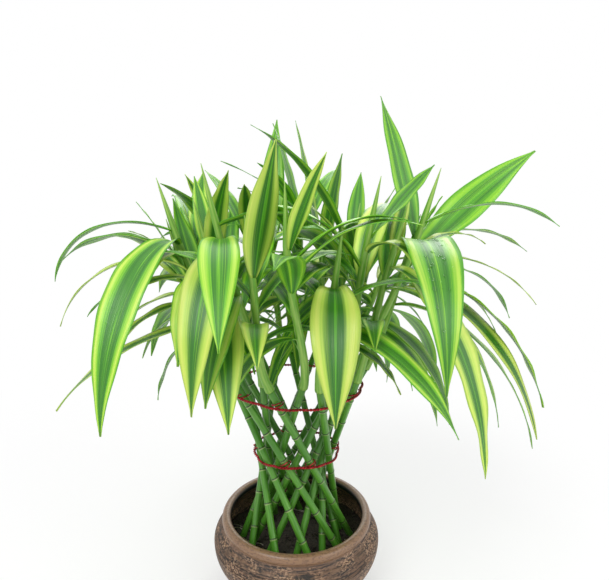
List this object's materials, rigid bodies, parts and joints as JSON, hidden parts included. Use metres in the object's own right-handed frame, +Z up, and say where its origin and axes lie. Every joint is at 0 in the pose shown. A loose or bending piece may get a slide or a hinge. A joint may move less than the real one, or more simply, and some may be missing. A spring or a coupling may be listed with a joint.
{
  "type": "lucky bamboo",
  "caption": "Woven lucky bamboo with crossing green canes, striped arching leaves and red wire ties in a squat brown pot.",
  "frame": {"origin": "centre of the pot's flat base, on the surface it stands on", "axes": "+Z up along the pot's axis; -Y towards the side seen in the picture, +X to its right"},
  "size_m": [0.5273, 0.4695, 0.5305],
  "materials": {
    "brown_glaze": "satin brown glaze with a combed, speckled body",
    "potting_mix": "damp dark mix of bark and fibre",
    "cane_green": "smooth green cane with pale joints",
    "leaf_green": "glossy, dark green in the middle with yellow-green margins",
    "red_wire": "shiny red twisted wire"
  },
  "bodies": {
    "root": {"pot": "brown_glaze", "potting_mix": "potting_mix", "cane_outer_01": "cane_green", "cane_outer_02": "cane_green", "cane_outer_03": "cane_green", "cane_outer_04": "cane_green", "cane_outer_05": "cane_green", "cane_outer_06": "cane_green", "cane_outer_07": "cane_green", "cane_outer_08": "cane_green", "cane_outer_09": "cane_green", "cane_outer_10": "cane_green", "cane_inner_01": "cane_green", "cane_inner_02": "cane_green", "cane_inner_03": "cane_green", "cane_inner_04": "cane_green", "cane_inner_05": "cane_green", "cane_inner_06": "cane_green", "cane_inner_07": "cane_green", "cane_inner_08": "cane_green", "cane_inner_09": "cane_green", "cane_inner_10": "cane_green", "lower_tie": "red_wire", "upper_tie": "red_wire", "shoot_outer_01": "leaf_green", "shoot_outer_02": "leaf_green", "shoot_outer_03": "leaf_green", "shoot_outer_04": "leaf_green", "shoot_outer_05": "leaf_green", "shoot_outer_06": "leaf_green", "shoot_outer_07": "leaf_green", "shoot_outer_08": "leaf_green", "shoot_outer_09": "leaf_green", "shoot_outer_10": "leaf_green", "shoot_inner_01": "leaf_green", "shoot_inner_02": "leaf_green", "shoot_inner_03": "leaf_green", "shoot_inner_04": "leaf_green", "shoot_inner_05": "leaf_green", "shoot_inner_06": "leaf_green", "shoot_inner_07": "leaf_green", "shoot_inner_08": "leaf_green", "shoot_inner_09": "leaf_green", "shoot_inner_10": "leaf_green"}
  },
  "joints": []
}
